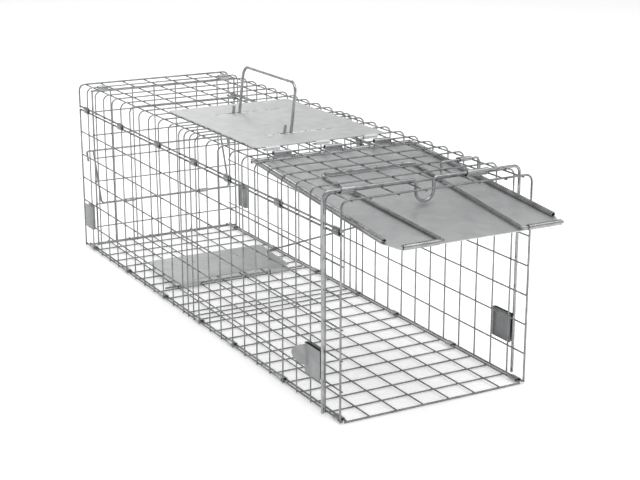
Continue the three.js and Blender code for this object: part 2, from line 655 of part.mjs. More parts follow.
// ---- place the whole trap: middle of its outline over the origin, standing on z = 0 ----
const root = new THREE.Group();
root.name = 'live_catch_trap';
const box = new THREE.Box3().setFromPoints(pieces.flatMap(({ g }) => g.v));
const foot = box.getCenter(V(0, 0, 0)).setZ(box.min.z);
for (const { name, g, m } of pieces) {
  const corners = g.t.flat().map(i => g.v[i].clone().sub(foot));
  const geometry = new THREE.BufferGeometry().setFromPoints(corners);
  geometry.computeVertexNormals();
  const mesh = new THREE.Mesh(geometry, m);
  mesh.name = name;
  root.add(mesh);
}
export default root;
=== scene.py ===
"""Live catch trap: round wires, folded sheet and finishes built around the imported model."""
import math

import bpy
from mathutils import Matrix, Vector


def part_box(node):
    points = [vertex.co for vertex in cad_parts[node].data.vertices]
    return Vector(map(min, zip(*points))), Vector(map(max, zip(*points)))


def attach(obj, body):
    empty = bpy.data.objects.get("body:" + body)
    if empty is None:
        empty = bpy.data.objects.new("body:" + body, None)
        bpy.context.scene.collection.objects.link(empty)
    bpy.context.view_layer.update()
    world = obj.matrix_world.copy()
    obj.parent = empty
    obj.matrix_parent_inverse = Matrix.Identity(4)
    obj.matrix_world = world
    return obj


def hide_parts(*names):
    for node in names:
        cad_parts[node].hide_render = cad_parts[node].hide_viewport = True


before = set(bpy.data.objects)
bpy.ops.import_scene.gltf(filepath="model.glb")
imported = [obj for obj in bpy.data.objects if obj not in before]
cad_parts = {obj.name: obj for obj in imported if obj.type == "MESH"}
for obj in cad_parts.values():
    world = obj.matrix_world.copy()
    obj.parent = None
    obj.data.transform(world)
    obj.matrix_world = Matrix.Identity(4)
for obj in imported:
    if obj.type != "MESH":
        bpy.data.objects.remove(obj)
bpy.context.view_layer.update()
bpy.ops.object.select_all(action="DESELECT")

# ---------------------------------------------------------------- sizes, in mm
MM = 0.001
CELL_W, CELL_H, CELL_L = 36.0, 36.45, 34.47      # mesh pitch: width, height, length
CELLS = 7                                       # openings across and up
# Cross wires and hoops, in cells from the front: a half cell's step in the middle of the cage.
HOOPS = [*range(12), 11.5, 12, 12.5, *(k + 0.5 for k in range(13, 24))]
THIN, EDGE, HEAVY = 2.0, 2.6, 4.0               # wire diameters
WELD = 0.9                                      # wire layers sunk into each other at the welds
LAYER = 1.05                                    # a wire layer's middle from its panel's middle
GAP = 0.4                                       # air between a moving wire and what it turns in
SHEET = 1.0                                     # catches and door
HW, H, L = CELL_W * CELLS / 2, CELL_H * CELLS, CELL_L * 23.5
FLOOR_MID = EDGE / 2 + LAYER
ROOF_MID = FLOOR_MID + H
SEAM = FLOOR_MID + 6 * CELL_H + 0.9             # where the roof panel meets the sides
CORNER_X = HW - 12                              # the lengthwise wires inside the roof's bends
LONG_X = [(k - 2.5) * CELL_W for k in range(6)]  # the other lengthwise wires
FLOOR_X = HW - 6.1                              # the floor's edge wires
ROOF_HOOP_Z = ROOF_MID + LAYER
HINGE_Y, HINGE_Z = 7 * CELL_L, ROOF_MID - 2.05 - 3.95
DOOR_REST = math.radians(5.1)
DOOR_LEN, DOOR_X, ROLL = 1.286 * H, HW - 12, 3.2
# The front hoop: its top bar, and its legs outside the catches.
BAR_Y, BAR_Z = CELL_L - 3.5, ROOF_HOOP_Z + 1 + GAP + 2
HOOP_X = HW + LAYER + EDGE / 2 + 0.5 + SHEET + GAP + 2
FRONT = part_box("floor_panel")[0].y / MM + EDGE / 2   # the front hoop, along the row's Y


def at(x, y, z):
    """Millimetres from the middle, the front hoop and the ground, as the row's metres."""
    return Vector((x, y + FRONT, z)) * MM


def row(k):
    """The height of a lengthwise wire of the side mesh, counted from the floor."""
    return FLOOR_MID + k * CELL_H


def on_door(x, s, o):
    """A point on the set door: s along it from the hinge, o above its middle."""
    c, n = math.cos(DOOR_REST), math.sin(DOOR_REST)
    return x, HINGE_Y - s * c - o * n, HINGE_Z - s * n + o * c


# ---------------------------------------------------------------- materials
def linear(code):
    """A hex colour as the linear values a shader takes."""
    parts = [int(code[i:i + 2], 16) / 255 for i in (1, 3, 5)]
    return [c / 12.92 if c <= 0.04045 else ((c + 0.055) / 1.055) ** 2.4 for c in parts] + [1.0]


def node(tree, kind, settings=None, links=None, **inputs):
    """Adds one node with its settings, input values and links."""
    n = tree.nodes.new(kind)
    for key, value in (settings or {}).items():
        setattr(n, key, value)
    for key, value in inputs.items():
        n.inputs[key.replace("_", " ")].default_value = value
    for key, source in (links or {}).items():
        tree.links.new(source, n.inputs[key])
    return n


PATCH = 9           # a cloudy patch of the zinc, in grains


def zinc(name, dark, light, rough, grain_mm, relief, spangle_mm=None):
    """Zinc coated steel: cloudy patches, a fine grain, uneven gloss, and crystals on sheet.

    The grain of a zinc coat is finer than 0.3 mm. It is drawn 1 to 2.4 mm wide, so that it shows.
    """
    m = bpy.data.materials.new(name)
    m.use_nodes = True
    t = m.node_tree
    t.nodes.clear()
    place = node(t, "ShaderNodeTexCoord").outputs["Object"]
    at_place = {"Vector": place}
    patch_mm = PATCH * grain_mm
    cloud = node(t, "ShaderNodeTexNoise", links=at_place, Scale=1000 / patch_mm, Detail=4.0, Roughness=0.6)
    grain = node(t, "ShaderNodeTexNoise", links=at_place, Scale=1000 / grain_mm, Detail=3.0, Roughness=0.55)
    tone = cloud.outputs["Fac"]
    if spangle_mm:
        cells = node(t, "ShaderNodeTexVoronoi", links=at_place, Scale=1000 / spangle_mm)
        both = {"A": tone, "B": cells.outputs["Color"]}
        mixed = node(t, "ShaderNodeMix", {"data_type": "FLOAT"}, both, Factor=0.35)
        tone = mixed.outputs["Result"]
    ramp = node(t, "ShaderNodeValToRGB", links={"Fac": tone})
    ramp.color_ramp.elements[0].position, ramp.color_ramp.elements[1].position = 0.32, 0.7
    ramp.color_ramp.elements[0].color, ramp.color_ramp.elements[1].color = linear(dark), linear(light)
    gloss = node(
        t, "ShaderNodeMapRange", links={"Value": grain.outputs["Fac"]},
        From_Min=0.3, From_Max=0.7, To_Min=rough - 0.06, To_Max=rough + 0.08,
    )
    height = {"Height": grain.outputs["Fac"]}
    bump = node(t, "ShaderNodeBump", links=height, Strength=relief, Distance=0.2 * MM)
    looks = {
        "Base Color": ramp.outputs["Color"],
        "Roughness": gloss.outputs["Result"],
        "Normal": bump.outputs["Normal"],
    }
    shader = node(t, "ShaderNodeBsdfPrincipled", links=looks, Metallic=1.0)
    node(t, "ShaderNodeOutputMaterial", links={"Surface": shader.outputs["BSDF"]})
    return m


# Mesh dipped after welding, its zinc a little lumpy. Its colour is painted darker than the sheet: a painted
# dark reflection of the surroundings.
WIRE_PAINTED_DARK = zinc("galvanised welded wire", "#757677", "#9b9c9d", 0.26, 1.4, 0.25)
# Drawn wire plated bright: smooth, with sharp long highlights. Its colour is painted darker: a painted dark
# reflection of the surroundings.
ROD_PAINTED_DARK = zinc("bright zinc plated wire", "#8f9091", "#aeafb0", 0.18, 1.0, 0.10)
# Roof sheet: pale and satin, with faint crystals of zinc about 11 mm wide.
ROOF = zinc("galvanised roof sheet", "#c6c7c7", "#d2d3d3", 0.5, 2.2, 0.10, spangle_mm=11)
# Door sheet: the same zinc with a little more shine, crystals about 13 mm wide.
DOOR = zinc("galvanised door sheet", "#c6c7c8", "#d3d4d4", 0.42, 2.4, 0.10, spangle_mm=13)
# Seam clips: strip that has been bent hard, so its plating looks darker.
STRIP = zinc("zinc plated folded strip", "#727374", "#939495", 0.30, 1.2, 0.15)
# Edges rolled over in the press: narrow bright highlights beside a colour painted darker than the door
# sheet, as painted shade and dark reflection in the curls.
ROLLED_PAINTED_DARK = zinc("rolled edge of galvanised sheet", "#8f9091", "#b4b5b6", 0.24, 1.6, 0.10)
# Sleeves rolled from bright strip: the lightest of the small fittings.
TUBE = zinc("bright rolled strip", "#989a9b", "#bcbdbe", 0.26, 1.4, 0.12)
# Catches: plated sheet, satin and mid grey.
CATCH = zinc("zinc plated catch sheet", "#8a8b8c", "#9d9e9f", 0.44, 2.0, 0.10)
# Pedal: sheet like the roof's, slightly darker, crystals about 12 mm wide.
PEDAL = zinc("galvanised pedal sheet", "#babbbb", "#c8c9c9", 0.46, 2.2, 0.10, spangle_mm=12)


# ---------------------------------------------------------------- makers
def pick(obj):
    """Makes an object the only one selected, and the active one."""
    bpy.ops.object.select_all(action="DESELECT")
    obj.select_set(True)
    bpy.context.view_layer.objects.active = obj


def finish(obj, name, body, stands_for, material, smooth=40):
    """Names a finished piece and hands it to its body."""
    obj.name = obj.data.name = name
    obj.data.materials.clear()
    obj.data.materials.append(material)
    pick(obj)
    bpy.ops.object.transform_apply(location=True, rotation=True, scale=True)
    bpy.ops.object.mode_set(mode="EDIT")
    bpy.ops.mesh.select_all(action="SELECT")
    bpy.ops.mesh.remove_doubles(threshold=0.005 * MM)
    bpy.ops.mesh.normals_make_consistent(inside=False)
    bpy.ops.object.mode_set(mode="OBJECT")
    bpy.ops.object.shade_smooth_by_angle(angle=math.radians(smooth))
    bpy.ops.object.select_all(action="DESELECT")
    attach(obj, body)
    if stands_for:
        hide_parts(*([stands_for] if isinstance(stands_for, str) else stands_for))
    return obj


def modify(obj, kind, **settings):
    """Adds one modifier and applies it."""
    pick(obj)
    mod = obj.modifiers.new(kind.title(), kind)
    for key, value in settings.items():
        setattr(mod, key, value)
    bpy.ops.object.modifier_apply(modifier=mod.name)


def bend(points, radius, steps=5):
    """The run of a wire with its corners bent to a radius (one, or one for each corner)."""
    pts = [Vector(p) for p in points]
    out = [pts[0]]
    for i in range(1, len(pts) - 1):
        r = radius[i - 1] if isinstance(radius, (list, tuple)) else radius
        a, b = pts[i - 1] - pts[i], pts[i + 1] - pts[i]
        half = a.angle(b) / 2
        if r <= 0 or half > 1.56:
            out.append(pts[i])
            continue
        cut = min(r / math.tan(half), a.length * 0.49, b.length * 0.49)
        rr = cut * math.tan(half)
        centre = pts[i] + (a.normalized() + b.normalized()).normalized() * rr / math.sin(half)
        s = pts[i] + a.normalized() * cut - centre
        e = pts[i] + b.normalized() * cut - centre
        axis, sweep = s.cross(e), s.angle(e)
        turns = [sweep * k / steps for k in range(steps + 1)]
        out += [centre + Matrix.Rotation(turn, 3, axis) @ s for turn in turns]
    return out + [pts[-1]]


def wires(name, runs, body, stands_for, material, rings=2, smooth=50):
    """Round wires: each run is drawn as a path, given its thickness and made a mesh."""
    curve = bpy.data.curves.new(name, "CURVE")
    curve.dimensions = "3D"
    curve.bevel_depth, curve.bevel_resolution, curve.use_fill_caps = MM / 2, rings, True
    for points, diameter in runs:
        spline = curve.splines.new("POLY")
        spline.points.add(len(points) - 1)
        for p, q in zip(spline.points, points):
            p.co = (*at(*q), 1.0)
            p.radius = diameter
    obj = bpy.data.objects.new(name, curve)
    bpy.context.scene.collection.objects.link(obj)
    pick(obj)
    bpy.ops.object.convert(target="MESH")
    return finish(bpy.context.view_layer.objects.active, name, body, stands_for, material, smooth)


def folded(section, place, ends, thick, lengths=1):
    """A strip of sheet folded to a section: a grid laid along it, then given its thickness."""
    bpy.ops.mesh.primitive_grid_add(x_subdivisions=len(section) - 1, y_subdivisions=lengths, size=1)
    obj = bpy.context.view_layer.objects.active
    n = len(section)
    for i, v in enumerate(obj.data.vertices):
        u, w = section[i % n]
        d = ends[0] + (ends[1] - ends[0]) * (i // n) / lengths
        v.co = at(*place(u, w, d))
    obj.location = (0, 0, 0)
    modify(obj, "SOLIDIFY", thickness=thick * MM, offset=0.0, use_even_offset=True)
    modify(obj, "BEVEL", width=0.18 * MM, segments=1, limit_method="ANGLE", angle_limit=math.radians(50))
    return obj


def joined(objs):
    """Several objects as one."""
    bpy.ops.object.select_all(action="DESELECT")
    for o in objs:
        o.select_set(True)
    bpy.context.view_layer.objects.active = objs[0]
    if len(objs) > 1:
        bpy.ops.object.join()
    return bpy.context.view_layer.objects.active


def arc(cu, cw, r, start, stop, steps):
    """Points of an arc, degrees."""
    turns = [math.radians(start + (stop - start) * k / steps) for k in range(steps + 1)]
    return [(cu + r * math.cos(a), cw + r * math.sin(a)) for a in turns]


def wrap(cu, cw, half, r, gap=0.35):
    """The section of a strip rolled round two wires, one above the other, its seam open a little."""
    over, under = arc(cu, cw + half, r, 0, 180, 8), arc(cu, cw - half, r, 180, 360, 8)
    return [(cu + r, cw + gap), *over, *under, (cu + r, cw - gap)]


def flat_sheet(outline, holes, z0, z1, place):
    """Sheet cut to an outline with holes: drawn flat, thickened, then laid in place."""
    curve = bpy.data.curves.new("flat", "CURVE")
    curve.dimensions, curve.fill_mode = "2D", "BOTH"
    chamfer = 0.15
    curve.extrude, curve.bevel_depth, curve.bevel_resolution = (z1 - z0) / 2 - chamfer, chamfer, 0
    curve.offset = -chamfer
    for loop in [outline, *holes]:
        spline = curve.splines.new("POLY")
        spline.points.add(len(loop) - 1)
        spline.use_cyclic_u = True
        for p, q in zip(spline.points, loop):
            p.co = (*q, 0, 1)
    obj = bpy.data.objects.new("flat", curve)
    bpy.context.scene.collection.objects.link(obj)
    pick(obj)
    bpy.ops.object.convert(target="MESH")
    obj = bpy.context.view_layer.objects.active
    for v in obj.data.vertices:
        v.co = at(*place(v.co.x, v.co.y, v.co.z + (z0 + z1) / 2))
    return obj


def rounded(x0, x1, y0, y1, r, steps=5):
    """A rectangle with round corners."""
    corners = [(x1 - r, y0 + r, -90), (x1 - r, y1 - r, 0), (x0 + r, y1 - r, 90), (x0 + r, y0 + r, 180)]
    return [p for x, y, turn in corners for p in arc(x, y, r, turn, turn + 90, steps)]


def across(u, w, d):
    """Places a section in Y and Z, its strip along X."""
    return d, u, w


def along(u, w, d):
    """Places a section in X and Z, its strip along Y."""
    return u, d, w


# ---------------------------------------------------------------- mesh panels
SEAM_HALF = 2.5       # from the middle of a roof seam to its edge wires
EDGE_IN = 1.0         # an edge wire's middle inside its panel's middle
EDGE_PAST = 1.6       # how far the cross wires run past an edge wire


def gauge(k):
    """The diameter of a cross wire: the first and last are heavier."""
    return EDGE if k in (0, 23.5) else THIN


def along_cage(x, z, diameter):
    """A wire along the whole cage, its ends a little past the first and last cross wires."""
    past = {THIN: 1.8, EDGE: 1.3}[diameter]
    return [(x, -past, z), (x, L + past, z)], diameter


def across_cage(half, y, z, diameter):
    """A straight wire across the cage."""
    return [(-half, y, z), (half, y, z)], diameter


for side, s in (("left", -1), ("right", 1)):
    low, top = FLOOR_MID + LAYER, SEAM - SEAM_HALF
    upright, lengthwise, edge = s * (HW + WELD), s * (HW - WELD), s * (HW - EDGE_IN)
    runs = [
        ([(upright, k * CELL_L, low - EDGE_PAST), (upright, k * CELL_L, top + EDGE_PAST)], gauge(k))
        for k in HOOPS
    ]
    runs += [along_cage(lengthwise, row(r), THIN) for r in range(1, 6)]
    runs += [along_cage(edge, z, EDGE) for z in (low, top)]
    wires(f"{side}_wall_mesh", runs, "cage", f"{side}_side_panel", WIRE_PAINTED_DARK)

runs = []
for k in HOOPS:
    x, y, z, low = HW + WELD, k * CELL_L, ROOF_MID + WELD, SEAM + SEAM_HALF - EDGE_PAST
    runs.append((bend([(-x, y, low), (-x, y, z), (x, y, z), (x, y, low)], 9, 5), gauge(k)))
runs += [along_cage(x, ROOF_MID - WELD, THIN) for x in [*LONG_X, -CORNER_X, CORNER_X]]
runs += [along_cage(s * (HW - EDGE_IN), SEAM + SEAM_HALF, EDGE) for s in (-1, 1)]
wires("roof_mesh", runs, "cage", "roof_panel", WIRE_PAINTED_DARK)

runs = [across_cage(FLOOR_X + EDGE_PAST, k * CELL_L, FLOOR_MID - 0.95, gauge(k)) for k in HOOPS]
runs += [along_cage(x, FLOOR_MID + WELD, THIN) for x in LONG_X]
runs += [along_cage(s * FLOOR_X, FLOOR_MID + EDGE_IN, EDGE) for s in (-1, 1)]
wires("floor_mesh", runs, "cage", "floor_panel", WIRE_PAINTED_DARK)

REAR_Y, REAR_TOP, REAR_LOW, REAR_X = 22.5 * CELL_L, ROOF_MID - 2.05 - 2.1, row(0) + 8, HW - 5
inner_y, side_y = REAR_Y - 2 * WELD, REAR_Y - 2
runs = [([(x, inner_y, REAR_LOW - 1.4), (x, inner_y, REAR_TOP)], THIN) for x in LONG_X]
for x in (1.3 - REAR_X, REAR_X - 1.3):
    runs.append(([(x, side_y, REAR_LOW - 1.2), (x, side_y, REAR_TOP)], EDGE))
runs += [across_cage(REAR_X, REAR_Y, row(r), THIN) for r in range(1, 7)]
runs += [across_cage(REAR_X, REAR_Y, z, EDGE) for z in (REAR_LOW, REAR_TOP)]
wires("rear_door_mesh", runs, "rear_gate", "rear_door", WIRE_PAINTED_DARK)

# ---------------------------------------------------------------- clips and sleeves
CLIPS = [0.35, 4.35, 8.32, 11.25, 14.77, 18.77, 22.82]
for i, k in enumerate(CLIPS):
    half = (0.165 if i == 3 else 0.2) * CELL_L
    ends = (k * CELL_L - half, k * CELL_L + half)
    for side, s in (("left", -1), ("right", 1)):
        section = [(s * u, w) for u, w in wrap(HW - LAYER, SEAM, SEAM_HALF, 2.1)]
        clip, node_name = folded(section, along, ends, 0.8), f"{side}_seam_clip_{i + 1}"
        finish(clip, f"{side}_seam_strip_{i + 1}", "cage", node_name, STRIP, 35)
        middle, apart = (HW - LAYER + FLOOR_X) / 2, (HW - LAYER - FLOOR_X) / 2
        section = [(s * (middle + w), FLOOR_MID + LAYER + u) for u, w in wrap(0, 0, apart, 2.0)]
        clip, node_name = folded(section, along, ends, 0.7), f"{side}_floor_clip_{i + 1}"
        finish(clip, f"{side}_floor_strip_{i + 1}", "cage", node_name, TUBE, 35)


def reach(node_name):
    """How far a node runs across the width, in mm."""
    lo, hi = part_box(node_name)
    return lo.x / MM, hi.x / MM


def sleeve(node_name, first, second, r, name, body="cage"):
    """A strip rolled round two parallel cross wires, each given by its Y and Z."""
    mid = (Vector(first) + Vector(second)) / 2
    span = Vector(second) - Vector(first)
    tilt = math.atan2(span.y, span.x) - math.pi / 2
    c, n = math.cos(tilt), math.sin(tilt)
    section = wrap(0, 0, span.length / 2, r)
    section = [(mid.x + u * c - w * n, mid.y + u * n + w * c) for u, w in section]
    finish(folded(section, across, reach(node_name), 0.8), name, body, node_name, TUBE, 35)


BRACE_Y = REAR_Y + 3.3              # the low wire of the rear brace
for i in (1, 2):
    bar, hoop = (BAR_Y, BAR_Z), (CELL_L, ROOF_HOOP_Z)
    sleeve(f"front_hoop_sleeve_{i}", bar, hoop, 2.7, f"hoop_sleeve_{i}")
    bar, hoop = (REAR_Y, REAR_TOP), (REAR_Y, ROOF_HOOP_Z)
    sleeve(f"rear_door_sleeve_{i}", bar, hoop, 2.1, f"rear_sleeve_{i}")
    bar, brace = (REAR_Y, row(2)), (BRACE_Y + 1.0, row(2))
    sleeve(f"rear_brace_tube_{i}", bar, brace, 2.1, f"brace_tube_{i}", "rear_gate")
for i in (1, 2, 3):
    rod, hoop = (HINGE_Y, HINGE_Z), (HINGE_Y, ROOF_HOOP_Z)
    sleeve(f"door_hinge_strap_{i}", rod, hoop, 2.6, f"hinge_strap_{i}")

# ---------------------------------------------------------------- front hoop, handle
LOOP = CELL_W / 2 - 6               # half the finger loop's width
LOOP_Z = HINGE_Z - (HINGE_Y - BAR_Y) * math.tan(DOOR_REST) + SHEET / 2 + 0.7 + 2
corners = [
    (-HOOP_X, 3.2), (-HOOP_X, BAR_Z), (-LOOP, BAR_Z), (-LOOP, LOOP_Z),
    (LOOP, LOOP_Z), (LOOP, BAR_Z), (HOOP_X, BAR_Z), (HOOP_X, 3.2),
]
run = bend([(x, BAR_Y, z) for x, z in corners], [9, 5, LOOP - 0.5, LOOP - 0.5, 5, 9], 8)
wires("entrance_hoop", [(run, HEAVY - 0.2)], "hoop", "front_hoop", ROD_PAINTED_DARK, 4)

# The handle's hooks turn about a roof wire at AX, AZ.
AX, AZ, HOOK = -CELL_W / 2, ROOF_MID - LAYER, 4.7
PLATE_Z = ROOF_HOOP_Z + 1.3
GRIP = 66 + PLATE_Z - AZ
tilt = math.radians(7)
MID_Y, SPAN = 11.75 * CELL_L, 4.41 * CELL_L
end = -SPAN / 2
corners = [(-HOOK, end, PLATE_Z + 11 - AZ), (-HOOK, end, -HOOK), (HOOK, end, -HOOK), (HOOK, end, GRIP)]
corners += [(x, -y, z) for x, y, z in reversed(corners)]
c, n = math.cos(tilt), math.sin(tilt)
level = bend(corners, [4.5, 4.5, 13, 13, 4.5, 4.5], 8)
run = [(AX + p.x * c + p.z * n, MID_Y + p.y, AZ - p.x * n + p.z * c) for p in level]
wires("handle_bail", [(run, HEAVY)], "handle", "carry_handle", ROD_PAINTED_DARK, 4)

# ---------------------------------------------------------------- roof plate
PLATE_X, PLATE_T = 2.5 * CELL_W + 4, 1.2
PLATE_FRONT, PLATE_REAR = 8 * CELL_L - 6.8, 15.5 * CELL_L + 6.7
outline = rounded(-PLATE_X, PLATE_X, PLATE_FRONT, PLATE_REAR, 5)
slots = [rounded(-50, 50, y - 3.2, y + 3.2, 3.1) for y in (MID_Y - SPAN / 2, MID_Y + SPAN / 2)]
parts = [flat_sheet(outline, slots, PLATE_Z, PLATE_Z + PLATE_T, lambda x, y, z: (x, y, z))]
low = ROOF_HOOP_Z - 1 - GAP - PLATE_T / 2 - 1.2
middle = PLATE_Z + PLATE_T / 2
r = (middle - low) / 2
for edge, way, hoop in ((PLATE_FRONT, 1, 8 * CELL_L), (PLATE_REAR, -1, 15.5 * CELL_L)):
    for x in (-2 * CELL_W + 1, 0, 2 * CELL_W - 1):
        curl = [math.radians(a) for a in (70, 45, 20, 0, -20, -45, -70, -90)]
        turned = [(edge + way * (1.0 - 3.0 * math.cos(a)), middle - r + r * math.sin(a)) for a in curl]
        section = [(edge + way * 1.0, middle), *turned, (hoop + way * 2.2, low)]
        parts.append(folded(section, across, (x - 0.28 * CELL_W, x + 0.28 * CELL_W), PLATE_T))
finish(joined(parts), "roof_cover_plate", "cage", "roof_plate", ROOF, 35)

# ---------------------------------------------------------------- drop door
STRAPS, STRAP_HALF = [-2 * CELL_W, 0, 2 * CELL_W], 0.34 * CELL_W
TUBE_O = SHEET / 2 + 2.4            # the lock frame's tubes above the middle of the sheet
CUT, TAIL = 11, DOOR_LEN - 24       # the cut corners: how much, and from where
# The lock frame: half its width at the door's tubes and at its far end, and its length.
TIP, FAR, FRAME_LEN = 0.405 * HW, 0.516 * HW, 0.745 * DOOR_LEN
GRID_X, GRID_S = 58, 82             # cells of the sheet's mesh
NEAR = 3.0                          # the sheet starts this far from the hinge line
NOTCH = 7.4                         # and this far where a strap passes
bpy.ops.mesh.primitive_grid_add(x_subdivisions=GRID_X, y_subdivisions=GRID_S, size=1)
door = bpy.context.view_layer.objects.active
for i, v in enumerate(door.data.vertices):
    a, b = (i % (GRID_X + 1)) / GRID_X, (i // (GRID_X + 1)) / GRID_S
    x, s = -DOOR_X + 2 * DOOR_X * a, NEAR + (DOOR_LEN - NEAR) * b
    if any(abs(x - c) < STRAP_HALF + 5 for c in STRAPS):
        s = max(s, NOTCH)
    limit = DOOR_X if s < TAIL else DOOR_X - CUT * (s - TAIL) / (DOOR_LEN - TAIL)
    x = max(-limit, min(limit, x))
    dent = Vector((x / 15, (s - (HINGE_Y - BAR_Y) - 9) / 12)).length
    wave = 0.25 * math.sin(x / 41) * math.sin(s / 57) * (1 - abs(x) / DOOR_X)
    v.co = at(*on_door(x, s, wave - 0.9 * math.exp(-dent * dent)))
modify(door, "SOLIDIFY", thickness=SHEET * MM, offset=0.0)


def down_door(u, w, d):
    """Places a section across the door, its strip running away from the hinge."""
    return on_door(u, d, w)


def across_door(u, w, d):
    """Places a section along the door, its strip running across."""
    return on_door(d, u, w)


rolls = []
for side in (-1, 1):
    curl = [(DOOR_X - ROLL - 2, 0), *arc(DOOR_X - ROLL, ROLL - 0.6, ROLL - 0.6, -90, 215, 16)]
    rolls.append(folded([(side * u, w) for u, w in curl], down_door, (8, TAIL), 0.9))
for side in (-1, 1):
    ends = (side * (TIP + 7), side * (DOOR_X - CUT))
    ring = arc(DOOR_LEN, TUBE_O, 2.85, -85, 250, 16)
    rolls.append(folded(ring, across_door, (min(ends), max(ends)), 0.9))
knuckles = [-DOOR_X, *(c + f * (STRAP_HALF + 1) for c in STRAPS for f in (-1, 1)), DOOR_X]
for first, last in zip(knuckles[::2], knuckles[1::2]):
    rolls.append(folded(arc(0, 0, 2.6, -170, 170, 14), across_door, (first, last), 0.85))
finish(door, "drop_door_sheet", "door", "drop_door", DOOR, 35)
finish(joined(rolls), "door_rolled_edges", "door", None, ROLLED_PAINTED_DARK, 35)
run = [(-DOOR_X + 1, HINGE_Y, HINGE_Z), (DOOR_X - 1, HINGE_Y, HINGE_Z)]
wires("hinge_rod", [(run, 3.5)], "cage", "door_hinge_rod", ROD_PAINTED_DARK, 4)
TUBE_END = DOOR_X - CUT + 2.5
corners = [(-TUBE_END, DOOR_LEN), (-TIP, DOOR_LEN), (-FAR, DOOR_LEN - FRAME_LEN)]
corners += [(-x, along_door) for x, along_door in reversed(corners)]
flat = bend([(*corner, TUBE_O) for corner in corners], [4, 9, 9, 4], 7)
wires("lock_strut_frame", [([on_door(*p) for p in flat], HEAVY)], "lock", "lock_frame", ROD_PAINTED_DARK, 4)

# ---------------------------------------------------------------- trigger: crank, sleeve, rod, pedal, axle
# The crank turns at CRANK_Y, CRANK_Z. Its arm hangs at ARM_X, ARM long, and pulls the rod.
CRANK_Y, CRANK_Z, ARM_X, ARM = 3 * CELL_L - 5, ROOF_MID - LAYER + 1 + GAP + 1.5, HW - 5.3, 43
s_at = (HINGE_Y - CRANK_Y) / math.cos(DOOR_REST)
hook_x = TIP + (FAR - TIP) * (DOOR_LEN - s_at) / FRAME_LEN + 2 + 1.9 + 1.5
# The crank's tip hangs just above the door's sheet, beside a leg of the lock frame.
tip_z = HINGE_Z - (HINGE_Y - CRANK_Y + 6) * math.tan(DOOR_REST) + SHEET / 2 + 1.2 + 1.5
corners = [
    (hook_x, CRANK_Y - 5, tip_z + 0.4), (hook_x, CRANK_Y, tip_z + 7), (hook_x, CRANK_Y, CRANK_Z),
    (ARM_X, CRANK_Y, CRANK_Z), (ARM_X, CRANK_Y, CRANK_Z - ARM),
]
run = bend(corners, [3, 4, 3.2], 6)
wires("trigger_crank_wire", [(run, 3.0)], "crank", "trigger_crank", ROD_PAINTED_DARK, 3)
sleeve("trigger_sleeve", (CRANK_Y, CRANK_Z), (3 * CELL_L, ROOF_HOOP_Z), 2.3, "crank_sleeve")
PED_Y, PED_Z, PED_L, PED_X = 15.5 * CELL_L - 4.5, FLOOR_MID + LAYER + 1 + GAP + 1.5, 104, 2.5 * CELL_W + 3.5
PED_TILT, PED_O = math.radians(4), 1.5 + GAP + PLATE_T / 2
HOLE = (2.5 * CELL_W - 4, 64)       # for the rod, from the pedal's middle and its axle


def on_pedal(x, t, o):
    """A point on the pedal: t behind its axle, o above the axle's middle."""
    c, n = math.cos(PED_TILT), math.sin(PED_TILT)
    return x, PED_Y + t * c - o * n, PED_Z + t * n + o * c


_, hy, hz = on_pedal(HOLE[0], HOLE[1], PED_O)
end_z = CRANK_Z - ARM - 1.3 - 0.6
top, bend_y = hz + 4, HINGE_Y + 9
lift = (end_z - top) * (hy - bend_y) / (hy - CRANK_Y)
corners = [
    (HOLE[0], hy, hz - 3.4), (HOLE[0], hy, top),
    (ARM_X, bend_y, top + lift), (ARM_X, CRANK_Y - 3, end_z),
]
run = bend(corners, [2.2, 30], 6)
wires("trigger_pull_rod", [(run, 2.6)], "rod", "trigger_rod", WIRE_PAINTED_DARK, 3)
outline = [(-PED_X, 9), (PED_X, 9)]
outline += [*arc(PED_X - 5, PED_L - 5, 5, 0, 90, 5), *arc(-PED_X + 5, PED_L - 5, 5, 90, 180, 5)]
holes = [arc(*HOLE, 3.6, 0, 330, 11), *[rounded(x - 5, x + 5, 72, 76.6, 2.2, 3) for x in (-CELL_W, CELL_W)]]
parts = [flat_sheet(outline, holes, PED_O - PLATE_T / 2, PED_O + PLATE_T / 2, on_pedal)]
for middle in (2 * CELL_W, -2 * CELL_W):
    lip = [(9.5, PED_O), *arc(0, 0, PED_O, 90, 400, 14)]
    ends = (middle - CELL_W / 2 + 3, middle + CELL_W / 2 - 3)
    parts.append(folded(lip, lambda u, w, d: on_pedal(d, u, w), ends, PLATE_T))
finish(joined(parts), "pedal_plate", "pedal_plate", "pedal", PEDAL, 35)
run = [(-CORNER_X + 3, PED_Y, PED_Z), (CORNER_X - 3, PED_Y, PED_Z)]
wires("pedal_axle_wire", [(run, 3.0)], "cage", "pedal_axle", WIRE_PAINTED_DARK, 3)

# ---------------------------------------------------------------- rear brace
LOW_X, LOW_Z = HW - 16, row(2)
TOP_X, TOP_Y, TOP_Z = HW - 5.2, 23.5 * CELL_L - 4, row(4.15)
lean = Vector((0, TOP_Y - BRACE_Y, TOP_Z - LOW_Z)).normalized() * 16
corners = [(TOP_X, TOP_Y - lean.y, TOP_Z - lean.z), (TOP_X, TOP_Y, TOP_Z)]
corners += [(-x, y, z) for x, y, z in reversed(corners)]
runs = [(bend(corners, [3, 3], 6), 3.0)]
corners = [(-LOW_X, TOP_Y, TOP_Z), (-LOW_X, BRACE_Y, LOW_Z), (LOW_X, BRACE_Y, LOW_Z), (LOW_X, TOP_Y, TOP_Z)]
runs.append((bend(corners, [5, 5], 6), 3.0))
wires("rear_brace_bail", runs, "brace", "rear_brace", ROD_PAINTED_DARK, 3)


# ---------------------------------------------------------------- side catches
CATCH_IN = HW + LAYER + EDGE / 2 + 0.5 + SHEET / 2
CATCH_LOW, CATCH_HIGH, EAR_LEAN = row(1.05), row(2.05), math.radians(25)


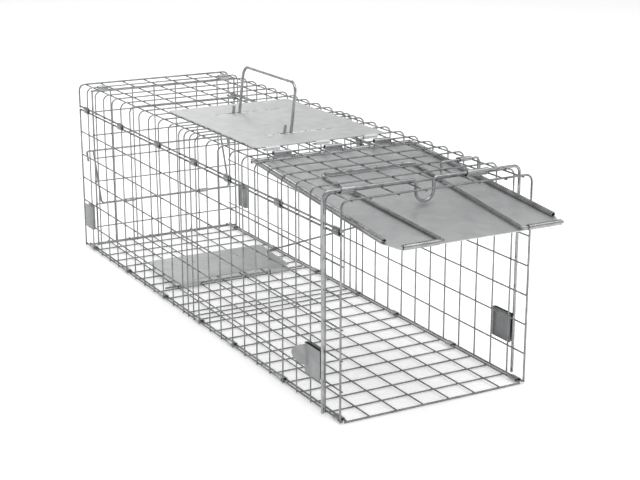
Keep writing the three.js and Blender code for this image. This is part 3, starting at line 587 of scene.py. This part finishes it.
def pocket(place, outer, deep):
    """A sheet folded back on itself, its mouth open."""
    r = (outer - CATCH_IN) / 2
    turned = [(CATCH_IN + r + u, deep + 0.9 * w) for u, w in arc(0, 0, r, 150, 30, 4)]
    fold = [(CATCH_IN + 0.2, 0), (CATCH_IN, 5), (CATCH_IN, deep), *turned, (outer, deep), (outer, 0)]
    return folded(fold, place, (CATCH_LOW, CATCH_HIGH), SHEET)


def ear(place, outer, deep):
    """A half-round leaf leaning out from the end of the pocket."""
    height = CATCH_HIGH - CATCH_LOW
    half, middle = 0.34 * height, CATCH_HIGH - 0.43 * height
    c, n = math.cos(EAR_LEAN), math.sin(EAR_LEAN)
    tip = [(0.58 * CELL_L * u, half * w) for u, w in arc(0, 0, 1, -90, 90, 14)]
    outline = [(-3, -half), *tip, (-3, half)]

    def lean(x, y, z):
        out = outer + z * c + max(0, x) * n
        return place(out, deep - 0.5 + x * (c if x > 0 else 1) - 0.2 * z * n, middle + y)

    return flat_sheet(outline, [], -SHEET / 2, SHEET / 2, lean)


for side, s in (("left", -1), ("right", 1)):
    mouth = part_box(f"{side}_front_catch")[0].y / MM - FRONT
    place = lambda u, w, d: (s * u, mouth + w, d)
    outer, deep = HOOP_X + 2 - SHEET / 2, 1.02 * CELL_L
    front = joined([pocket(place, outer, deep), ear(place, outer, deep)])
    finish(front, f"{side}_front_catch_fold", "cage", f"{side}_front_catch", CATCH, 35)
    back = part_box(f"{side}_rear_catch")[1].y / MM - FRONT
    rear = pocket(lambda u, w, d: (s * u, back - w, d), CATCH_IN + 4 + SHEET, 0.72 * CELL_L)
    finish(rear, f"{side}_rear_catch_fold", "cage", f"{side}_rear_catch", CATCH, 35)

# ---------------------------------------------------------------- floor, light, camera
bpy.ops.mesh.primitive_plane_add(size=40, location=(0, 0, -0.0002))
ground = bpy.context.view_layer.objects.active
ground.name = "studio_floor"
paper = bpy.data.materials.new("pale studio paper")
paper.use_nodes = True
sockets = paper.node_tree.nodes["Principled BSDF"].inputs
sockets["Base Color"].default_value = linear("#fbfbfb")
sockets["Roughness"].default_value = 0.9
sockets["Emission Color"].default_value = (1, 1, 1, 1)
sockets["Emission Strength"].default_value = 0.3
ground.data.materials.append(paper)

world = bpy.data.worlds.new("soft studio")
bpy.context.scene.world = world
world.use_nodes = True
sky = world.node_tree
way = node(sky, "ShaderNodeTexCoord").outputs["Generated"]
height = node(sky, "ShaderNodeSeparateXYZ", links={"Vector": way}).outputs["Z"]
dome = node(sky, "ShaderNodeValToRGB", links={"Fac": height})
bands = dome.color_ramp.elements
bands[0].position, bands[1].position = 0.06, 0.25
bands[0].color, bands[1].color = (0.97, 0.97, 0.97, 1), (0.9, 0.9, 0.9, 1)
bands.new(0.6).color = (0.55, 0.55, 0.55, 1)
sky.links.new(dome.outputs["Color"], sky.nodes["Background"].inputs["Color"])
sky.nodes["Background"].inputs["Strength"].default_value = 0.85


def lamp(name, place, aim, size, power):
    """A square soft box, sizes in metres and power in watts."""
    data = bpy.data.lights.new(name, "AREA")
    data.shape, data.size, data.energy = "SQUARE", size, power
    obj = bpy.data.objects.new(name, data)
    obj.location = place
    obj.rotation_euler = (Vector(aim) - Vector(place)).to_track_quat("-Z", "Y").to_euler()
    bpy.context.scene.collection.objects.link(obj)


lamp("top_soft_box", (-0.3, -0.3, 2.6), (0, 0, 0), 2.6, 26)
lamp("front_soft_box", (1.0, -1.5, 3.2), (0, -0.1, 0.3), 3.4, 46)
lamp("rear_soft_box", (0.5, 3.0, 2.2), (0, 0, 0.3), 1.2, 16)

YAW, PITCH = 0.50767, 0.28290       # turned right and tilted down, in radians
data = bpy.data.cameras.new("camera")
data.lens, data.sensor_width, data.clip_end = 81.11, 36, 60
camera = bpy.data.objects.new("camera", data)
camera.location = at(-872.07, -1293.08, 646.64 + FLOOR_MID)
camera.rotation_euler = (math.pi / 2 - PITCH, 0, -YAW)
bpy.context.scene.collection.objects.link(camera)
bpy.context.scene.camera = camera

bpy.context.scene.view_settings.view_transform = "Standard"
